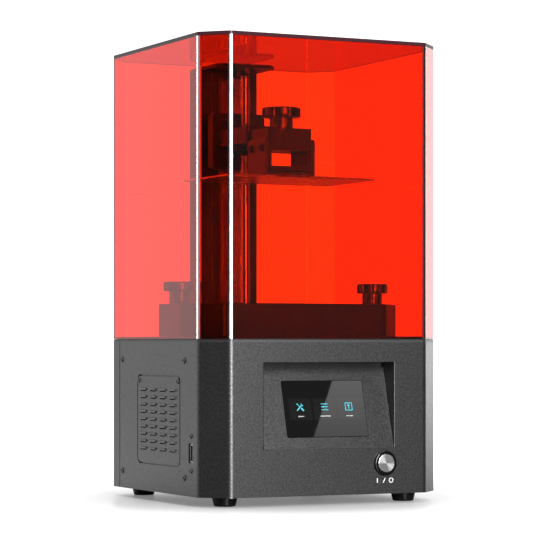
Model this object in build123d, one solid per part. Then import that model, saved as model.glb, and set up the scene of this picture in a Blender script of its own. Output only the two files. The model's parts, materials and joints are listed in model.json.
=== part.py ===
from build123d import *

import os
from math import atan2, cos, sin

# Desktop masked-LCD resin printer: a square base housing, a lift-off acrylic cover, a vat and a Z axis.
# Units are millimetres. The origin is on the floor under the middle, +Z is up and the front faces -Y.

# ---- driving dimensions -------------------------------------------------------------------
WIDTH = 221.0            # side of the square footprint
CHAMFER = 20.0           # leg of the four vertical corner chamfers
EDGE_RADIUS = 6.0        # bend radius of the vertical edges
FOOT_HEIGHT = 8.0
FOOT_RADII = (8.8, 10.7) # at the floor and at the housing
FEET = [(x, y) for x in (-83.5, 83.5) for y in (-84.5, 84.5)]
DECK_TOP = 136.0         # top of the deck, where the cover stands
TOTAL_HEIGHT = 386.5
SHEET = 1.5              # steel sheet of the housing
ACRYLIC = 3.0            # cover wall
GAP = 0.3                # clearance between pieces that move apart
FIT = 0.05               # radial clearance of a running fit

HALF = WIDTH / 2
SHELL_TOP = DECK_TOP - SHEET
SEAM_Y = 75.0            # where the rear shell meets the front shell
SEAM_GAP = 1.2
SEAM_FLANGE_Y = (64.0, 82.0)  # strip of the rear shell that backs the seam
SLIP = 0.1               # gap between sheets that lie face to face

# front recess with the tilted touch panel
RECESS_HALF_X = 60.2
RECESS_Z = (46.4, 118.0)
RECESS_EDGE = 0.7        # rounding of the opening's upright edges
RECESS_WALL = 1.4
PANEL_TOP_Z = 113.5
PANEL_DEPTH = 18.4       # how far the panel's top edge stands back
PANEL_THICK = 2.0
TILT = atan2(PANEL_DEPTH, PANEL_TOP_Z - RECESS_Z[0])
PANEL_LENGTH = PANEL_DEPTH / sin(TILT)
GLASS = (75.2, 48.2, 1.3)
GLASS_V = 34.1           # centre of the glass along the slope, from the panel's lower edge

# power button
BUTTON = (51.8, 33.5)    # x, z of its axis
RING_RADIUS = 10.6
NECK_RADIUS = 9.2
CAP_RADIUS = 7.8
RING_PROUD = 2.2
CAP_PROUD = 3.0
BUTTON_TRAVEL = 1.5

# side vents and the USB port
VENT_Y = (-55.5, 35.5)
VENT_Z = (31.0, 107.0)
VENT_RADIUS = 6.0
VENT_GAP = 1.4
VENT_FLANGE = (4.0, 1.2)  # overlap behind the sheet, and thickness
LOUVRE_ROWS = 9
LOUVRE_COLUMNS = 4
LOUVRE_LENGTH = 14.0
LOUVRE_HEIGHT = 3.0
LOUVRE_PROUD = 1.2
LOUVRE_PITCH = (20.5, 6.25)
LOUVRE_CENTRE = (-8.6, 69.2)
USB = (-77.2, 43.5)      # y, z of its centre, on the left side
USB_SHELL = (3.5, 7.1)   # half sizes of its metal shell
USB_WALL = 0.8
USB_DEPTH = 13.5
USB_SUNK = 1.0           # how far the shell stands back from the face
USB_ROOM = (0.3, 1.6, 1.0)  # room round the shell: to the front, to the rear, above and below
JACK = (-60.0, 30.0)     # x, z of the power inlet on the rear
JACK_RADIUS = 5.6
JACK_BORE = 3.2
JACK_PIN = 1.05

# optical centre, screen and vat
CENTRE_Y = -16.0         # the LCD, the vat and the platform are centred here
LCD = (140.0, 88.0, 1.8)
LCD_WINDOW = (132.0, 82.0)
LCD_FRAME = (200.0, 102.0, 3.0)
VAT = (202.0, 102.0)
VAT_CUT = (25.0, 28.0)   # legs of the vat's corner chamfers
VAT_TOP = 167.0
WELL = (148.0, 91.5)
WELL_Y = -15.75          # centre of the well
WELL_RADIUS = 6.0
LIP = 1.5                # lip that the film is stretched over
FILM = 0.2
KNOB_X = 91.0            # the vat's thumb knobs
KNOB_Y = -14.5
STUD_RADIUS = 2.5
STUD_PITCH = 0.8

# Z axis
SCREW_Y = 53.3
SCREW_RADIUS = 4.0
COLUMN_HALF_X = 28.0
COLUMN_Y = (87.5, 105.3)
COLUMN_TOP = 377.0
COLUMN_WALL = 2.5
RAIL_HALF_X = 11.0
RAIL_Y = (79.5, 87.5)
RAIL_WAIST = 1.6
RAIL_HOLES = 8
RAIL_HOLE_PITCH = 29.0
TOP_PLATE_Y = 45.0
TOP_PLATE_THICK = 3.0
CARRIAGE_HALF_X = 25.0
CARRIAGE_Y = (66.0, 76.0)
CARRIAGE_Z = (288.0, 338.0)

# platform arm and platform
ARM_HALF_X = 20.0
ARM_Y = (8.0, 66.0)
ARM_Z = (307.5, 322.0)
TONGUE_HALF_X = 14.0
TONGUE_Y = -32.0
TONGUE_Z = (301.8, 312.5)
BLOCK_HALF_X = 20.5
BLOCK_Y = (-36.0, -2.0)
BLOCK_Z = (280.5, 317.0)
WINDOW_HALF_X = 17.5
WINDOW_Z = (284.5, 298.0)
PLATE = (139.0, 87.5)
PLATE_Z = (273.0, 277.0)
PLATE_RIM = 1.3          # thickness at the plate's edge; its top slopes up to the bracket
PLATE_Y = -15.75
BRACKET_THICK = 3.0
BRACKET_BASE = 2.5
BRACKET_TOP = 308.0
LEVEL_SCREW_Z = 300.0
LEVEL_SCREW_Y = (-29.5, -9.0)
PLATFORM_STUD_RADIUS = 4.0

# motor, light engine and fan inside the base
MOTOR_SIDE = 42.3
MOTOR_Z = (94.5, 134.5)
MOTOR_BOSS = 11.0        # radius of the locating ring on its face
UV_BOX_LOW = (104.0, 62.0)  # inside of the reflector at the LED board
UV_BOX_Z = (62.0, 134.0)
UV_WALL = 1.2
FAN = (45.0, 70.0)       # x, z of its axis
FAN_SIDE = 60.0
FAN_Y = (93.0, 108.6)
FAN_DUCT_RADIUS = 28.0
FAN_BLADES = 7
FAN_HUB = 12.0
FAN_PIN = 1.5
STRUT_THICK = 1.5
GUARD_PROUD = CAP_PROUD  # the rear guard stands as proud as the button, so the box is centred
GUARD_RINGS = (8.0, 14.0, 20.0, 26.0)


# ---- shared shapes ------------------------------------------------------------------------
def outline(size_x, size_y, cut_x, cut_y, radius, centre_y=0.0):
    """A rectangle with four cut corners, each vertex rounded."""
    hx, hy = size_x / 2, size_y / 2
    points = [
        (hx - cut_x, -hy), (hx, -hy + cut_y), (hx, hy - cut_y), (hx - cut_x, hy),
        (-hx + cut_x, hy), (-hx, hy - cut_y), (-hx, -hy + cut_y), (-hx + cut_x, -hy),
    ]
    face = Polygon(*points, align=None)
    if radius > 0:
        face = fillet(face.vertices(), radius)
    return Pos(0, centre_y) * face


def body_outline(inset):
    """The footprint's outline, moved in by inset with its chamfers kept parallel."""
    size = WIDTH - 2 * inset
    cut = CHAMFER - inset * (2 - 2 ** 0.5)
    return outline(size, size, cut, cut, max(EDGE_RADIUS - inset, 0.6))


def slab(face, z0, z1):
    """face extruded from z0 to z1."""
    return extrude(Pos(0, 0, z0) * face, z1 - z0, dir=(0, 0, 1))


def block(x, y, z):
    """A box given by its ranges along x, y and z."""
    centre = [(r[0] + r[1]) / 2 for r in (x, y, z)]
    return Pos(*centre) * Box(x[1] - x[0], y[1] - y[0], z[1] - z[0])


def rod_z(x, y, radius, z0, z1):
    return Pos(x, y, (z0 + z1) / 2) * Cylinder(radius, z1 - z0)


def rod_y(x, z, radius, y0, y1):
    return Pos(x, (y0 + y1) / 2, z) * Rot(90, 0, 0) * Cylinder(radius, y1 - y0)


def rod_x(y, z, radius, x0, x1):
    return Pos((x0 + x1) / 2, y, z) * Rot(0, 90, 0) * Cylinder(radius, x1 - x0)


def rounded_block(x, y, z, radius):
    """A box with its four vertical edges rounded."""
    face = RectangleRounded(x[1] - x[0], y[1] - y[0], radius)
    return slab(Pos((x[0] + x[1]) / 2, (y[0] + y[1]) / 2) * face, *z)


def screw(head_radius, head_height, shank_radius, length):
    """A socket screw standing on z = 0 under its head, with its shank going down."""
    head = Pos(0, 0, head_height / 2) * Cylinder(head_radius, head_height)
    head = fillet(head.edges().group_by(Axis.Z)[-1], head_height * 0.35)
    socket = Pos(0, 0, head_height * 0.4) * extrude(RegularPolygon(head_radius * 0.5, 6), head_height)
    shank = Pos(0, 0, -length / 2) * Cylinder(shank_radius, length)
    return head + shank - socket


def facing(axis):
    """The turn that takes +Z to the named axis."""
    turns = {"+Z": Rot(0, 0, 0), "-Z": Rot(180, 0, 0), "+X": Rot(0, 90, 0),
             "-X": Rot(0, -90, 0), "+Y": Rot(-90, 0, 0), "-Y": Rot(90, 0, 0)}
    return turns[axis]


def group(solids):
    """Separate solids kept in one node."""
    return Compound(children=list(solids))


NODES = {}


def node(name, shape):
    NODES[name] = shape


# ---- housing ------------------------------------------------------------------------------
SIDE_SCREWS = [(70.0, 119.5), (-63.5, 119.5), (69.0, 23.0), (-64.0, 23.0)]
VENT_SCREWS = [(31.5, 102.0), (-50.5, 102.0)]
USB_SCREWS = [(USB[0], USB[1] + 14.2), (USB[0], USB[1] - 14.2)]
REAR_SCREWS = [(-80.0, 122.0), (80.0, 122.0), (-80.0, 18.0), (80.0, 18.0)]
FAN_SCREWS = [(FAN[0] + i, FAN[1] + j) for i in (-25, 25) for j in (-25, 25)]
SMALL_SHANK = 1.5
SMALL_HEAD = 2.5
HEAD_HEIGHT = 0.9


def housing_ring():
    ring = slab(body_outline(0), FOOT_HEIGHT, SHELL_TOP)
    return ring - slab(body_outline(SHEET), FOOT_HEIGHT - 1, SHELL_TOP + 1)


def vent_face(grow):
    """The vent opening's outline on the YZ plane, grown by grow on each side."""
    size_y = VENT_Y[1] - VENT_Y[0] + 2 * grow
    size_z = VENT_Z[1] - VENT_Z[0] + 2 * grow
    face = RectangleRounded(size_y, size_z, VENT_RADIUS + grow)
    centre = ((VENT_Y[0] + VENT_Y[1]) / 2, (VENT_Z[0] + VENT_Z[1]) / 2)
    return Plane.YZ * Pos(*centre) * face


def make_front_shell():
    behind = block((-HALF - 1, HALF + 1), (SEAM_Y - SEAM_GAP / 2, HALF + 1), (0, DECK_TOP))
    shell = housing_ring() - behind
    half = RECESS_HALF_X + GAP
    shell -= block((-half, half), (-HALF - 1, -HALF + 5), RECESS_Z)
    uprights = [edge for edge in shell.edges().filter_by(Axis.Z)
                if abs(abs(edge.center().X) - half) < FIT and abs(edge.center().Y + HALF) < FIT]
    shell = fillet(uprights, RECESS_EDGE)
    shell -= rod_y(*BUTTON, NECK_RADIUS, -HALF - 1, -HALF + 5)
    for side in (-1, 1):
        cut = extrude(Pos(side * (HALF - 4), 0, 0) * vent_face(0), side * 8)
        shell -= cut
        for y, z in SIDE_SCREWS:
            shell -= rod_x(y, z, SMALL_SHANK, side * HALF - 4, side * HALF + 4)
    y, z = USB
    half_y, half_z = USB_SHELL
    mouth_y = (y - half_y - USB_ROOM[0], y + half_y + USB_ROOM[1])
    shell -= block((-HALF - 1, -HALF + 3), mouth_y, (z - half_z - USB_ROOM[2], z + half_z + USB_ROOM[2]))
    for y, z in USB_SCREWS:
        shell -= rod_x(y, z, SMALL_SHANK, -HALF - 1, -HALF + 3)
    return shell


def band(inset, thickness, y, z):
    """The part of a ring, inset from the footprint, that lies between two values of y and of z."""
    ring = slab(body_outline(inset), *z) - slab(body_outline(inset + thickness), z[0] - 1, z[1] + 1)
    return ring & block((-HALF, HALF), y, z)


def make_rear_shell():
    ahead = block((-HALF - 1, HALF + 1), (-HALF - 1, SEAM_Y + SEAM_GAP / 2), (0, DECK_TOP))
    shell = housing_ring() - ahead
    flange_z = (FOOT_HEIGHT + SHEET + GAP, SHELL_TOP - GAP)
    weld = (SEAM_Y + SEAM_GAP, SEAM_FLANGE_Y[1])
    shell += band(SHEET + SLIP, SHEET, SEAM_FLANGE_Y, flange_z)
    shell += band(SHEET - SLIP, 3 * SLIP, weld, flange_z)
    for side in (-1, 1):
        for y, z in SIDE_SCREWS:
            if y > SEAM_FLANGE_Y[0]:
                shell -= rod_x(y, z, SMALL_SHANK, side * HALF - 4, side * HALF + 4)
    shell -= rod_y(*FAN, FAN_DUCT_RADIUS - 1, HALF - 4, HALF + 1)
    shell -= rod_y(*JACK, JACK_RADIUS + 0.2, HALF - 4, HALF + 1)
    for x, z in REAR_SCREWS + FAN_SCREWS:
        shell -= rod_y(x, z, SMALL_SHANK, HALF - 4, HALF + 1)
    for row in range(5):
        slot = SlotCenterToCenter(34, 3)
        shell -= extrude(Pos(-45, HALF + 1, 96 - 8 * row) * Rot(90, 0, 0) * slot, 4)
    return shell


def make_vent_plate(side):
    """Louvred plate that fills one side's opening, on a flange behind the sheet."""
    overlap, thick = VENT_FLANGE
    back = HALF - SHEET - SLIP
    outer = extrude(Pos(side * back, 0, 0) * vent_face(-VENT_GAP), side * (SHEET + SLIP))
    flange = extrude(Pos(side * (back - thick), 0, 0) * vent_face(overlap), side * thick)
    plate = outer + flange
    radius = (LOUVRE_HEIGHT ** 2 / 4 + LOUVRE_PROUD ** 2) / (2 * LOUVRE_PROUD)
    centre_x = side * (HALF - radius + LOUVRE_PROUD)
    slots = []
    hoods = []
    for row in range(LOUVRE_ROWS):
        z = LOUVRE_CENTRE[1] + (row - (LOUVRE_ROWS - 1) / 2) * LOUVRE_PITCH[1]
        for column in range(LOUVRE_COLUMNS):
            y = LOUVRE_CENTRE[0] + (column - (LOUVRE_COLUMNS - 1) / 2) * LOUVRE_PITCH[0]
            ends = (y - LOUVRE_LENGTH / 2, y + LOUVRE_LENGTH / 2)
            hood = Pos(centre_x, y, z) * Rot(90, 0, 0) * Cylinder(radius, LOUVRE_LENGTH)
            x_range = sorted((side * (HALF - 0.5), side * (HALF + 2)))
            hood &= block(x_range, ends, (z - 0.4, z + LOUVRE_HEIGHT))
            hoods.append(hood)
            slot_x = sorted((side * (HALF - 5), side * (HALF + 0.2)))
            slots.append(block(slot_x, (ends[0] + 1, ends[1] - 1), (z - 1.4, z - 0.4)))
    plate = plate + hoods
    plate = plate - slots
    for y, z in VENT_SCREWS:
        plate -= rod_x(y, z, SMALL_SHANK, side * HALF - 5, side * HALF + 5)
    return plate


def make_bottom_plate():
    plate = slab(body_outline(SHEET + SLIP), FOOT_HEIGHT, FOOT_HEIGHT + SHEET)
    for x, y in FEET:
        plate -= rod_z(x, y, FOOT_SHANK + FIT, FOOT_HEIGHT - 1, FOOT_HEIGHT + 3)
    for row in range(6):
        slot = SlotCenterToCenter(60, 3.5)
        plate -= slab(Pos(0, CENTRE_Y + (row - 2.5) * 9) * slot, FOOT_HEIGHT - 1, FOOT_HEIGHT + 3)
    return plate


FOOT_SHANK = 1.95
FOOT_WELL = 4.0          # radius and depth of the well for the screw's head


def make_foot(x, y):
    foot = Pos(x, y, FOOT_HEIGHT / 2) * Cone(*FOOT_RADII, FOOT_HEIGHT)
    foot = fillet(foot.edges().group_by(Axis.Z)[0], 1.5)
    foot -= rod_z(x, y, FOOT_WELL, -1, FOOT_WELL)
    return foot - rod_z(x, y, FOOT_SHANK + FIT, FOOT_WELL - 1, FOOT_HEIGHT + 1)


def make_foot_screw(x, y):
    return Pos(x, y, FOOT_WELL) * facing("-Z") * screw(3.4, 2.0, FOOT_SHANK, 7.5)


def make_deck_plate():
    plate = slab(body_outline(0), SHELL_TOP, DECK_TOP)
    window = RectangleRounded(LCD_WINDOW[0] + 6, LCD_WINDOW[1] + 4, 3)
    plate -= slab(Pos(0, CENTRE_Y) * window, SHELL_TOP - 1, DECK_TOP + 1)
    plate -= rod_z(0, SCREW_Y, MOTOR_BOSS + 0.2, SHELL_TOP - 1, DECK_TOP + 1)
    for x in (-KNOB_X, KNOB_X):
        plate -= rod_z(x, KNOB_Y, NUT_BOSS[0] + 0.1, SHELL_TOP - 1, DECK_TOP + 1)
    for x, y in DECK_SCREWS + MOTOR_SCREWS:
        plate -= rod_z(x, y, SMALL_SHANK, SHELL_TOP - 1, DECK_TOP + 1)
    for x in (-58, 58):
        for row in range(5):
            slot = SlotCenterToCenter(22, 2.6)
            plate -= slab(Pos(x, 62 + 6 * row) * slot, SHELL_TOP - 1, DECK_TOP + 1)
    return plate


DECK_SCREWS = [(x, y) for x in (-90.0, 90.0) for y in (-84.0, 84.0)]
MOTOR_SCREWS = [(x, SCREW_Y + y) for x in (-15.5, 15.5) for y in (-15.5, 15.5)]
FRAME_SCREWS = [(x, CENTRE_Y + y) for x in (-94.0, 94.0) for y in (-45.0, 45.0)]
NUT_BOSS = (5.0, 9.0)    # radius and depth of the screen frame's threaded bosses
RIM_HEIGHT = 3.2         # lower than the vat's underside, so the vat slides over it
RIM_WALL = 1.5
SEAT_HEIGHT = 1.1        # black strip that the cover stands on


def make_cover_rim():
    """The strip on the deck that the cover stands on, with an upstand inside the cover's wall."""
    inset = ACRYLIC + 0.5
    seat = slab(body_outline(0.4), DECK_TOP, DECK_TOP + SEAT_HEIGHT)
    upstand = slab(body_outline(inset), DECK_TOP, DECK_TOP + RIM_HEIGHT)
    hole = slab(body_outline(inset + RIM_WALL), DECK_TOP - 1, DECK_TOP + RIM_HEIGHT + 1)
    return seat + upstand - hole


# ---- touch panel and button ---------------------------------------------------------------
SLOPE = Plane(origin=(0, -HALF, RECESS_Z[0]), x_dir=(1, 0, 0), z_dir=(0, -cos(TILT), sin(TILT)))
POCKET = 1.0
GLASS_EDGE = 0.15        # gap round the glass in its pocket
GLASS_BEVEL = 0.35


def on_slope(size_x, size_v, centre_v, low, high, radius=0.0):
    """A slab lying in the panel's plane, from low to high along its outward normal."""
    face = RectangleRounded(size_x, size_v, radius) if radius else Rectangle(size_x, size_v)
    return SLOPE * slab(Pos(0, centre_v) * face, low, high)


def make_screen_panel():
    centre_v = PANEL_LENGTH / 2
    panel = on_slope(2 * RECESS_HALF_X, PANEL_LENGTH, centre_v, -PANEL_THICK, 0)
    pocket = (GLASS[0] + 2 * GLASS_EDGE, GLASS[1] + 2 * GLASS_EDGE)
    panel -= on_slope(*pocket, GLASS_V, -POCKET, 1, 1.2)
    panel -= on_slope(GLASS[0] - 6, GLASS[1] - 5, GLASS_V, -PANEL_THICK - 1, 1, 1.0)
    return panel & block((-HALF, HALF), (-HALF, 0), (RECESS_Z[0] + 0.1, DECK_TOP))


def make_screen_recess():
    """Black side walls, roof and back that close the recess behind the front sheet."""
    front = -HALF + SHEET
    back = -HALF + PANEL_DEPTH + 6
    wall = RECESS_WALL
    outer = block((-RECESS_HALF_X - wall - GAP, RECESS_HALF_X + wall + GAP),
                  (front + 0.05, back), (RECESS_Z[0] - 1, RECESS_Z[1] + wall))
    inner = block((-RECESS_HALF_X - GAP, RECESS_HALF_X + GAP),
                  (front - 1, back - wall), (RECESS_Z[0] - 2, RECESS_Z[1]))
    shell = outer - inner
    shell -= on_slope(2 * HALF, 2 * PANEL_LENGTH, PANEL_LENGTH / 2, -80, -PANEL_THICK - 3)
    return shell


def make_touch_glass():
    glass = slab(Pos(0, GLASS_V) * RectangleRounded(*GLASS[:2], 1.0), -POCKET, -POCKET + GLASS[2])
    return SLOPE * chamfer(glass.edges().group_by(Axis.Z)[-1], GLASS_BEVEL)


def make_display_module():
    frame = on_slope(GLASS[0] - 7, GLASS[1] - 6, GLASS_V, -6.0, -PANEL_THICK + 0.6)
    board = on_slope(86, 52, GLASS_V, -7.6, -6.0)
    parts = [Pos(x, GLASS_V - 12, -8.8) * Box(9, 9, 2.4) for x in (-25, 0, 24)]
    return frame + board + [SLOPE * p for p in parts]


def make_button_ring():
    """Bezel of the power button: a domed flange on a threaded neck, with a nut behind the sheet."""
    x, z = BUTTON
    flange = rod_y(x, z, RING_RADIUS, -HALF - RING_PROUD, -HALF)
    flange = fillet(flange.edges().group_by(Axis.Y)[0], 1.6)
    neck = rod_y(x, z, NECK_RADIUS - 0.1, -HALF, -HALF + 14)
    nut = extrude(Pos(x, -HALF + SHEET, z) * Rot(-90, 0, 0) * RegularPolygon(13, 6), 3)
    ring = flange + neck + nut
    return ring - rod_y(x, z, CAP_RADIUS + 0.15, -HALF - 5, -HALF + 20)


def make_button_cap():
    x, z = BUTTON
    cap = rod_y(x, z, CAP_RADIUS, -HALF - CAP_PROUD, -HALF + 6)
    cap = fillet(cap.edges().group_by(Axis.Y)[0], 0.6)
    return cap + rod_y(x, z, 3.0, -HALF + 6, -HALF + 12)


def make_button_switch():
    x, z = BUTTON
    switch = block((x - 8, x + 8), (-HALF + 14, -HALF + 26), (z - 8, z + 8))
    switch = fillet(switch.edges().filter_by(Axis.Y), 1.5)
    switch -= rod_y(x, z, 4.0, -HALF + 10, -HALF + 20)
    for dx in (-4, 0, 4):
        switch += block((x + dx - 0.4, x + dx + 0.4), (-HALF + 25, -HALF + 31), (z - 1.4, z + 1.4))
    return switch


# ---- connectors ---------------------------------------------------------------------------
def make_usb_port():
    """Metal receptacle with its tongue, on a flange screwed behind the sheet."""
    y, z = USB
    half_y, half_z = USB_SHELL
    mouth = -HALF + USB_SUNK
    back = mouth + USB_DEPTH + USB_WALL
    shell = block((mouth, back), (y - half_y, y + half_y), (z - half_z, z + half_z))
    hollow_y = (y - half_y + USB_WALL, y + half_y - USB_WALL)
    shell -= block((mouth - 1, mouth + USB_DEPTH), hollow_y, (z - half_z + USB_WALL, z + half_z - USB_WALL))
    flange_x = (-HALF + SHEET + SLIP, -HALF + SHEET + SLIP + 1.2)
    flange = block(flange_x, (y - half_y - 2, y + half_y + 2), (z - half_z - 11, z + half_z + 11))
    for _, screw_z in USB_SCREWS:
        flange -= rod_x(y, screw_z, SMALL_SHANK, -HALF - 1, -HALF + 5)
    inner_y = (y - half_y + SLIP, y + half_y - SLIP)
    flange -= block((mouth, back - 1), inner_y, (z - half_z + SLIP, z + half_z - SLIP))
    tongue = block((mouth + 1, back), (y + 0.5, y + 2.1), (z - half_z + 1.5, z + half_z - 1.5))
    return shell + flange + tongue


def make_power_jack():
    """Round power inlet with a centre pin; its square body is behind the sheet."""
    x, z = JACK
    half = JACK_RADIUS + 1.4
    barrel = rod_y(x, z, JACK_RADIUS, HALF - 12, HALF + 1.0)
    body = block((x - half, x + half), (HALF - 16, HALF - SHEET - SLIP), (z - half, z + half))
    pin = rod_y(x, z, JACK_PIN, HALF - 13, HALF - 0.5)
    return barrel + body - rod_y(x, z, JACK_BORE, HALF - 12, HALF + 2) + pin


def make_housing_screws():
    side = screw(SMALL_HEAD, HEAD_HEIGHT, SMALL_SHANK - 0.05, 5)
    screws = [Pos(s * HALF, y, z) * facing(a) * side
              for s, a in ((-1, "-X"), (1, "+X")) for y, z in SIDE_SCREWS]
    screws += [Pos(x, HALF, z) * facing("+Y") * side for x, z in REAR_SCREWS]
    return group(screws)


def make_vent_screws():
    side = screw(SMALL_HEAD - 0.4, HEAD_HEIGHT, SMALL_SHANK - 0.05, 5)
    screws = [Pos(s * HALF, y, z) * facing(a) * side
              for s, a in ((-1, "-X"), (1, "+X")) for y, z in VENT_SCREWS]
    screws += [Pos(-HALF, y, z) * facing("-X") * side for y, z in USB_SCREWS]
    return group(screws)


def make_deck_screws():
    """Screws that stand on the deck, on the screen frame and on the top plate."""
    flat = screw(SMALL_HEAD, 1.4, SMALL_SHANK - 0.05, 5)
    screws = [Pos(x, y, DECK_TOP) * flat for x, y in DECK_SCREWS + MOTOR_SCREWS]
    screws += [Pos(x, y, COLUMN_TOP + TOP_PLATE_THICK) * flat for x, y in TOP_SCREWS]
    return group(screws)


# ---- screen and light engine --------------------------------------------------------------
def make_lcd_frame():
    z1 = DECK_TOP + LCD_FRAME[2]
    frame = slab(Pos(0, CENTRE_Y) * RectangleRounded(LCD_FRAME[0], LCD_FRAME[1], 2), DECK_TOP, z1)
    frame -= slab(Pos(0, CENTRE_Y) * Rectangle(*LCD_WINDOW), DECK_TOP - 1, z1 + 1)
    pocket = Rectangle(LCD[0] + 0.4, LCD[1] + 0.4)
    frame -= slab(Pos(0, CENTRE_Y) * pocket, z1 - LCD[2], z1 + 1)
    for x in (-KNOB_X, KNOB_X):
        frame += rod_z(x, KNOB_Y, NUT_BOSS[0], DECK_TOP - NUT_BOSS[1], DECK_TOP + 1)
        frame -= rod_z(x, KNOB_Y, STUD_RADIUS + FIT, DECK_TOP - NUT_BOSS[1] - 1, z1 + 1)
    return frame


def make_lcd_panel():
    z1 = DECK_TOP + LCD_FRAME[2]
    return slab(Pos(0, CENTRE_Y) * Rectangle(LCD[0], LCD[1]), z1 - LCD[2], z1)


def make_uv_light_box():
    """Tapered reflector between the LED board and the LCD window."""
    top = Rectangle(LCD_WINDOW[0] - 2, LCD_WINDOW[1] - 2)
    low = Rectangle(*UV_BOX_LOW)
    faces = [Pos(0, CENTRE_Y, UV_BOX_Z[1]) * top, Pos(0, CENTRE_Y, UV_BOX_Z[0]) * low]
    core = loft(faces)
    grown = [Rectangle(*LCD_WINDOW), Rectangle(UV_BOX_LOW[0] + 2 * UV_WALL, UV_BOX_LOW[1] + 2 * UV_WALL)]
    shell = loft([Pos(0, CENTRE_Y, UV_BOX_Z[1]) * grown[0], Pos(0, CENTRE_Y, UV_BOX_Z[0]) * grown[1]])
    return shell - core


LED_BOARD = (112.0, 68.0)
LED_BOARD_Z = (60.2, 61.8)
LED_ARRAY = (9, 5)
LED_PITCH = (11.5, 12.5)
LED_BODY = (3.6, 1.0)    # side and height of one emitter's base
LED_LENS = 1.5
HEATSINK_Z = (36.0, 60.0)
FINS = 15
FIN_PITCH = 7.8
FIN_THICK = 1.6


def board_block(z):
    """A block as large as the LED board."""
    x, y = LED_BOARD
    return block((-x / 2, x / 2), (CENTRE_Y - y / 2, CENTRE_Y + y / 2), z)


def make_uv_led_board():
    return board_block(LED_BOARD_Z)


def make_uv_leds():
    """Array of surface-mount emitters with domed lenses on the LED board."""
    leds = []
    half = LED_BODY[0] / 2
    top = LED_BOARD_Z[1] + LED_BODY[1]
    for column in range(LED_ARRAY[0]):
        for row in range(LED_ARRAY[1]):
            x = (column - (LED_ARRAY[0] - 1) / 2) * LED_PITCH[0]
            y = CENTRE_Y + (row - (LED_ARRAY[1] - 1) / 2) * LED_PITCH[1]
            base = block((x - half, x + half), (y - half, y + half), (LED_BOARD_Z[1], top))
            dome = Pos(x, y, top) * Sphere(LED_LENS)
            dome &= block((x - half, x + half), (y - half, y + half), (top - SLIP, top + LED_LENS))
            leds.append(base + dome)
    return group(leds)


def make_uv_heatsink():
    """Finned heat sink under the LED board, on four posts from the bottom plate."""
    sink = board_block((HEATSINK_Z[1] - 4, HEATSINK_Z[1]))
    half_x, half_y = LED_BOARD[0] / 2, LED_BOARD[1] / 2
    for fin in range(FINS):
        x = (fin - (FINS - 1) / 2) * FIN_PITCH
        fin_x = (x - FIN_THICK / 2, x + FIN_THICK / 2)
        sink += block(fin_x, (CENTRE_Y - half_y, CENTRE_Y + half_y), HEATSINK_Z)
    for x in (5.3 - half_x, half_x - 5.3):
        for y in (CENTRE_Y - half_y + 6, CENTRE_Y + half_y - 6):
            sink += rod_z(x, y, 3.0, FOOT_HEIGHT + SHEET, HEATSINK_Z[1] - 2)
    return sink


# ---- electronics --------------------------------------------------------------------------
BOARD_X = -92.0
BOARD_Y = (-70.0, 56.0)
BOARD_Z = (24.0, 112.0)


def make_mainboard():
    return block((BOARD_X, BOARD_X + 1.6), BOARD_Y, BOARD_Z)


def make_mainboard_parts():
    """Chips, connectors and stand-offs on the mainboard."""
    face = BOARD_X + 1.6
    chips = [(-20, 70, 14, 14, 1.4), (10, 78, 10, 10, 1.2), (-35, 92, 8, 8, 1.0), (20, 50, 18, 8, 6.0),
             (-8, 40, 24, 7, 7.0), (-38, 44, 12, 7, 7.0), (30, 96, 9, 9, 9.0), (12, 98, 9, 9, 9.0)]
    parts = [block((face, face + h), (y - sy / 2, y + sy / 2), (z - sz / 2, z + sz / 2))
             for y, z, sy, sz, h in chips]
    for y in (BOARD_Y[0] + 4, BOARD_Y[1] - 4):
        for z in (BOARD_Z[0] + 9, BOARD_Z[1] - 9):
            parts.append(rod_x(y, z, 2.5, -HALF + SHEET, BOARD_X))
    return group(parts)


def make_fan_frame():
    x, z = FAN
    y0, y1 = FAN_Y
    half = FAN_SIDE / 2
    frame = block((x - half, x + half), (y0, y1), (z - half, z + half))
    frame = fillet(frame.edges().filter_by(Axis.Y), 4)
    frame -= rod_y(x, z, FAN_DUCT_RADIUS, y0 - 1, y1 + 1)
    for sx, sz in FAN_SCREWS:
        frame -= rod_y(sx, sz, 2.0, y0 - 1, y1 + 1)
    hub = rod_y(x, z, FAN_HUB + 0.5, y0, y0 + STRUT_THICK)
    for k in range(3):
        spot = Pos(x, y0 + STRUT_THICK / 2, z) * Rot(0, 120 * k + 30, 0)
        hub += spot * Pos(20, 0, 0) * Box(18, STRUT_THICK, 3)
    pin = rod_y(x, z, FAN_PIN, y0, y0 + 8)
    return frame + hub + pin


def make_fan_rotor():
    x, z = FAN
    y0, y1 = FAN_Y
    hub = rod_y(x, z, FAN_HUB, y0 + 2.0, y1 - 1.2)
    blades = []
    for k in range(FAN_BLADES):
        blade = Pos(19, 0, 0) * Rot(38, 0, 0) * Box(16.4, 1.3, 12.5)
        blades.append(Pos(x, (y0 + y1) / 2 + 0.4, z) * Rot(0, 360 / FAN_BLADES * k, 0) * blade)
    rotor = hub + blades
    rotor &= rod_y(x, z, FAN_DUCT_RADIUS - 0.9, y0 + 2.0, y1 - 1.2)
    return rotor - rod_y(x, z, FAN_PIN + FIT, y0, y0 + 8.5)


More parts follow.
